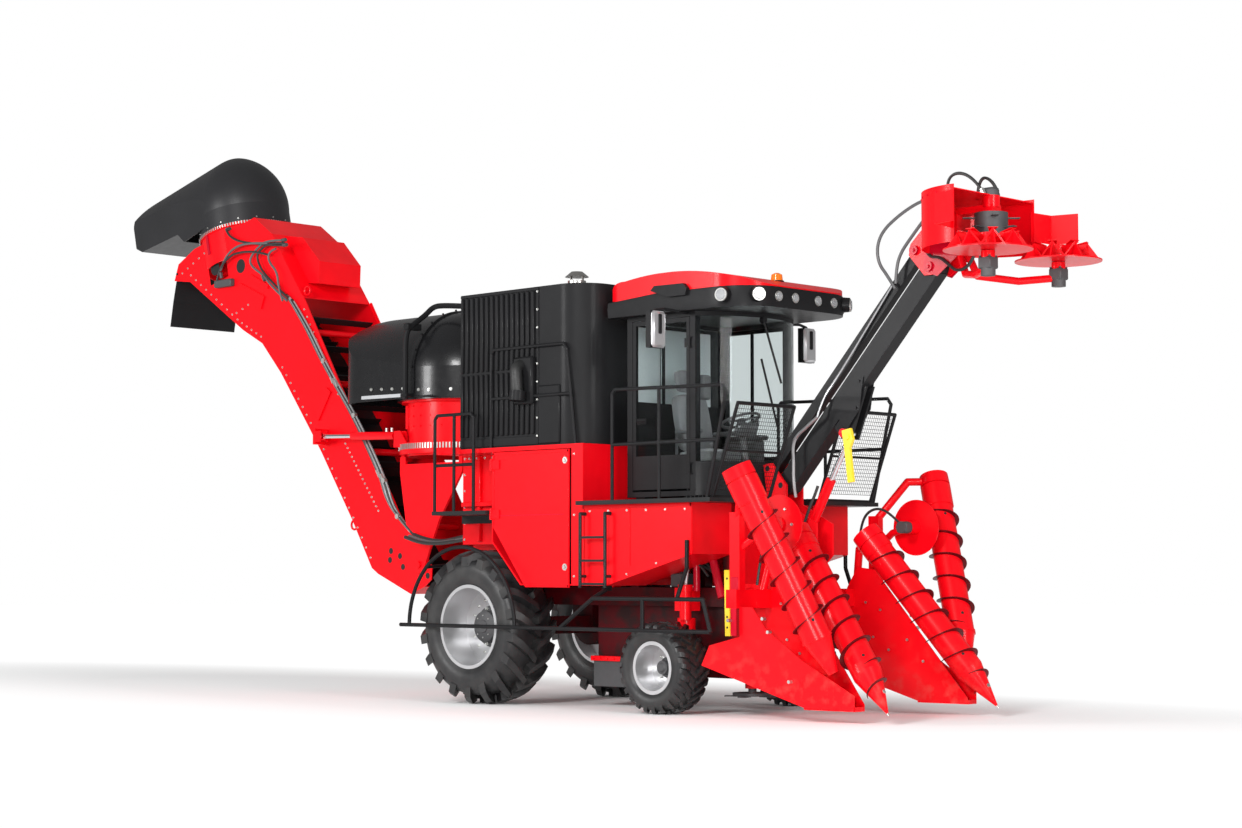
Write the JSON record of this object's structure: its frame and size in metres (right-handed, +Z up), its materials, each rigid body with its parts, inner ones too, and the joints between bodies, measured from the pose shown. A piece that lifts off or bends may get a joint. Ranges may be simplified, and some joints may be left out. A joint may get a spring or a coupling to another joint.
{
  "type": "sugarcane harvester",
  "caption": "Wheeled sugarcane harvester with topper, spiral crop dividers, cab, cooling pack, main extractor, slewing elevator with secondary extractor, and steered front wheels.",
  "frame": {"origin": "On the ground under the middle of the whole machine's box", "axes": "+X forward, +Y left, +Z up"},
  "size_m": [13.6666, 3.1424, 6.4612],
  "materials": {
    "red_paint": "gloss red enamel",
    "black_paint": "satin black enamel",
    "black_gloss": "gloss black moulded cover",
    "silver_paint": "silver rim enamel",
    "tyre_rubber": "matt black rubber",
    "glass": "clear cab glass",
    "chrome": "chromed rod",
    "steel": "bare steel",
    "interior": "grey cab trim and seat",
    "cast_dark": "dark cast engine",
    "yellow_paint": "safety yellow enamel on the lock bars"
  },
  "bodies": {
    "root": {"rear_axle": "red_paint", "front_axle": "red_paint", "chassis_frame": "red_paint", "throat_walls": "red_paint", "body_shell": "red_paint", "engine_block": "cast_dark", "side_tanks": "red_paint", "engine_enclosure": "black_paint", "exhaust_stack": "steel", "wheel_guards": "black_paint", "platform_decks": "black_paint", "platform_rails": "black_paint", "cab_frame": "black_paint", "cab_roof": "red_paint", "cab_glass": "glass", "cab_interior": "interior", "extractor_chamber": "red_paint"},
    "rear_wheel_right": {"rear_tyre_right": "tyre_rubber", "rear_rim_right": "silver_paint"},
    "front_wheel_right": {"front_tyre_right": "tyre_rubber", "front_rim_right": "silver_paint"},
    "knuckle_right": {"steering_knuckle_right": "red_paint"},
    "engine_door_right": {"engine_door_right": "red_paint"},
    "base_cutter_right": {"base_cutter_right": "steel"},
    "divider_right": {"divider_right": "red_paint"},
    "outer_scroll_right": {"outer_scroll_right": "red_paint"},
    "inner_scroll_right": {"inner_scroll_right": "red_paint"},
    "trim_disc_right": {"trim_disc_right": "red_paint"},
    "gathering_drum_right": {"gathering_drum_right": "red_paint"},
    "rear_wheel_left": {"rear_tyre_left": "tyre_rubber", "rear_rim_left": "silver_paint"},
    "front_wheel_left": {"front_tyre_left": "tyre_rubber", "front_rim_left": "silver_paint"},
    "knuckle_left": {"steering_knuckle_left": "red_paint"},
    "engine_door_left": {"engine_door_left": "red_paint"},
    "base_cutter_left": {"base_cutter_left": "steel"},
    "divider_left": {"divider_left": "red_paint"},
    "outer_scroll_left": {"outer_scroll_left": "red_paint"},
    "inner_scroll_left": {"inner_scroll_left": "red_paint"},
    "trim_disc_left": {"trim_disc_left": "red_paint"},
    "gathering_drum_left": {"gathering_drum_left": "red_paint"},
    "knockdown_roller": {"knockdown_roller": "steel"},
    "cab_door": {"cab_door": "black_paint", "cab_door_glass": "glass"},
    "main_hood": {"main_hood": "black_gloss"},
    "main_fan": {"main_fan": "black_paint"},
    "turntable": {"elevator_turntable": "red_paint"},
    "elevator": {"elevator_frame": "red_paint", "elevator_conveyor": "red_paint"},
    "elevator_cylinders": {"elevator_cylinders": "red_paint"},
    "elevator_rods": {"elevator_rods": "chrome"},
    "bin_flap": {"bin_flap": "black_paint"},
    "secondary_hood": {"secondary_hood": "black_gloss"},
    "secondary_fan": {"secondary_fan": "black_paint"},
    "topper_boom": {"topper_boom": "black_paint"},
    "topper_link": {"topper_link": "black_paint"},
    "topper_head": {"topper_head": "red_paint"},
    "topper_cylinder": {"topper_cylinder": "red_paint"},
    "topper_rod": {"topper_rod": "chrome"},
    "topper_cutter": {"topper_cutter": "steel"}
  },
  "joints": [
    {"name": "rear_wheel_right_spin", "type": "hinge", "parent": "root", "child": "rear_wheel_right", "pos_m": [0.45832, -0.94, 0.785], "axis": [0, 1, 0], "continuous": true},
    {"name": "steering_right", "type": "hinge", "parent": "root", "child": "knuckle_right", "pos_m": [2.95832, -0.635, 0.437], "axis": [0, 0, 1], "range_deg": [-20, 20]},
    {"name": "front_wheel_right_spin", "type": "hinge", "parent": "knuckle_right", "child": "front_wheel_right", "pos_m": [2.95832, -0.947, 0.437], "axis": [0, 1, 0], "continuous": true},
    {"name": "engine_door_right_hinge", "type": "hinge", "parent": "root", "child": "engine_door_right", "pos_m": [0.74632, -1.164, 1.88], "axis": [0, 0, 1], "range_deg": [-88, 0]},
    {"name": "base_cutter_right_spin", "type": "hinge", "parent": "root", "child": "base_cutter_right", "pos_m": [3.48832, -0.285, 0.165], "axis": [0, 0, 1], "continuous": true},
    {"name": "divider_right_lift", "type": "hinge", "parent": "root", "child": "divider_right", "pos_m": [3.62832, -0.48, 1.12], "axis": [0, 1, 0], "range_deg": [-10, 1.5]},
    {"name": "outer_scroll_right_spin", "type": "hinge", "parent": "divider_right", "child": "outer_scroll_right", "pos_m": [4.37832, -1.44, 2.18], "axis": [0.3547, 0.2348, -0.905], "continuous": true},
    {"name": "inner_scroll_right_spin", "type": "hinge", "parent": "divider_right", "child": "inner_scroll_right", "pos_m": [4.29832, -0.535, 1.63], "axis": [0.6201, -0.1437, -0.7713], "continuous": true},
    {"name": "trim_disc_right_spin", "type": "hinge", "parent": "divider_right", "child": "trim_disc_right", "pos_m": [4.45832, -1.018, 1.77], "axis": [0, 1, 0], "continuous": true},
    {"name": "rear_wheel_left_spin", "type": "hinge", "parent": "root", "child": "rear_wheel_left", "pos_m": [0.45832, 0.94, 0.785], "axis": [0, 1, 0], "continuous": true},
    {"name": "steering_left", "type": "hinge", "parent": "root", "child": "knuckle_left", "pos_m": [2.95832, 0.635, 0.437], "axis": [0, 0, 1], "range_deg": [-20, 20]},
    {"name": "front_wheel_left_spin", "type": "hinge", "parent": "knuckle_left", "child": "front_wheel_left", "pos_m": [2.95832, 0.947, 0.437], "axis": [0, 1, 0], "continuous": true},
    {"name": "engine_door_left_hinge", "type": "hinge", "parent": "root", "child": "engine_door_left", "pos_m": [0.74632, 1.164, 1.88], "axis": [0, 0, 1], "range_deg": [0, 88]},
    {"name": "base_cutter_left_spin", "type": "hinge", "parent": "root", "child": "base_cutter_left", "pos_m": [3.48832, 0.285, 0.165], "axis": [0, 0, 1], "continuous": true},
    {"name": "divider_left_lift", "type": "hinge", "parent": "root", "child": "divider_left", "pos_m": [3.62832, 0.48, 1.12], "axis": [0, 1, 0], "range_deg": [-10, 1.5]},
    {"name": "outer_scroll_left_spin", "type": "hinge", "parent": "divider_left", "child": "outer_scroll_left", "pos_m": [4.37832, 1.44, 2.18], "axis": [0.3547, -0.2348, -0.905], "continuous": true},
    {"name": "inner_scroll_left_spin", "type": "hinge", "parent": "divider_left", "child": "inner_scroll_left", "pos_m": [4.29832, 0.535, 1.63], "axis": [0.6201, 0.1437, -0.7713], "continuous": true},
    {"name": "trim_disc_left_spin", "type": "hinge", "parent": "divider_left", "child": "trim_disc_left", "pos_m": [4.45832, 1.018, 1.77], "axis": [0, 1, 0], "continuous": true},
    {"name": "knockdown_roller_spin", "type": "hinge", "parent": "root", "child": "knockdown_roller", "pos_m": [3.70832, 0, 0.8], "axis": [0, 1, 0], "continuous": true},
    {"name": "cab_door_hinge", "type": "hinge", "parent": "root", "child": "cab_door", "pos_m": [3.08832, -0.734, 2.29], "axis": [0, 0, 1], "range_deg": [0, 36]},
    {"name": "main_hood_slew", "type": "hinge", "parent": "root", "child": "main_hood", "pos_m": [-0.89168, 0, 3.215], "axis": [0, 0, 1], "range_deg": [-80, 80]},
    {"name": "main_fan_spin", "type": "hinge", "parent": "root", "child": "main_fan", "pos_m": [-0.89168, 0, 3.03], "axis": [0, 0, 1], "continuous": true},
    {"name": "elevator_slew", "type": "hinge", "parent": "root", "child": "turntable", "pos_m": [-0.89168, 0, 2.62], "axis": [0, 0, 1], "range_deg": [-75, 75]},
    {"name": "elevator_lift", "type": "hinge", "parent": "turntable", "child": "elevator", "pos_m": [-1.10168, 0, 1.42], "axis": [0, 1, 0], "range_deg": [-14, 2]},
    {"name": "elevator_cylinder_swing", "type": "hinge", "parent": "turntable", "child": "elevator_cylinders", "pos_m": [-1.30168, 0, 2.83], "axis": [0, 1, 0], "range_deg": [-15.89, 3.01]},
    {"name": "elevator_rod_slide", "type": "slide", "parent": "elevator_cylinders", "child": "elevator_rods", "axis": [-0.9994, 0, 0.0338], "range_m": [-0.06927, 0.36612]},
    {"name": "bin_flap_hinge", "type": "hinge", "parent": "elevator", "child": "bin_flap", "pos_m": [-5.75168, 0, 5.02], "axis": [0, 1, 0], "range_deg": [-15, 60]},
    {"name": "secondary_hood_slew", "type": "hinge", "parent": "elevator", "child": "secondary_hood", "pos_m": [-5.02168, 0, 5.48], "axis": [-0.2419, 0, 0.9703], "range_deg": [-170, 170]},
    {"name": "secondary_fan_spin", "type": "hinge", "parent": "elevator", "child": "secondary_fan", "pos_m": [-5.02168, 0, 5.48], "axis": [-0.2419, 0, 0.9703], "continuous": true},
    {"name": "topper_lift", "type": "hinge", "parent": "root", "child": "topper_boom", "pos_m": [3.71832, 0, 2.17], "axis": [0, 1, 0], "range_deg": [-6, 45]},
    {"name": "topper_link_swing", "type": "hinge", "parent": "root", "child": "topper_link", "pos_m": [3.55332, 0, 2.335], "axis": [0, 1, 0], "range_deg": [-7, 46]},
    {"name": "topper_head_level", "type": "hinge", "parent": "topper_boom", "child": "topper_head", "pos_m": [5.48832, 0, 4.115], "axis": [0, 1, 0], "range_deg": [-46, 7]},
    {"name": "topper_cylinder_swing", "type": "hinge", "parent": "root", "child": "topper_cylinder", "pos_m": [3.91332, 0, 1.64], "axis": [0, 1, 0], "range_deg": [-6.36, 35.36]},
    {"name": "topper_rod_slide", "type": "slide", "parent": "topper_cylinder", "child": "topper_rod", "axis": [0.4919, 0, 0.8706], "range_m": [-0.4091, 0.07356]},
    {"name": "gathering_drum_right_spin", "type": "hinge", "parent": "topper_head", "child": "gathering_drum_right", "pos_m": [6.44332, -0.54, 4.13], "axis": [0, 0, 1], "continuous": true},
    {"name": "gathering_drum_left_spin", "type": "hinge", "parent": "topper_head", "child": "gathering_drum_left", "pos_m": [6.44332, 0.54, 4.13], "axis": [0, 0, 1], "continuous": true},
    {"name": "topper_cutter_spin", "type": "hinge", "parent": "topper_head", "child": "topper_cutter", "pos_m": [6.09832, 0, 4.4], "axis": [0, 0, 1], "continuous": true}
  ],
  "couplings": [
    {"joint": "elevator_cylinder_swing", "follows": "elevator_lift", "ratio": 1.0734},
    {"joint": "elevator_rod_slide", "follows": "elevator_lift", "m_per_rad": -1.4174},
    {"joint": "topper_link_swing", "follows": "topper_lift", "ratio": 1},
    {"joint": "topper_head_level", "follows": "topper_lift", "ratio": -1},
    {"joint": "topper_cylinder_swing", "follows": "topper_lift", "ratio": 0.74365},
    {"joint": "topper_rod_slide", "follows": "topper_lift", "m_per_rad": -0.49295},
    {"joint": "steering_left", "follows": "steering_right", "ratio": 1}
  ]
}
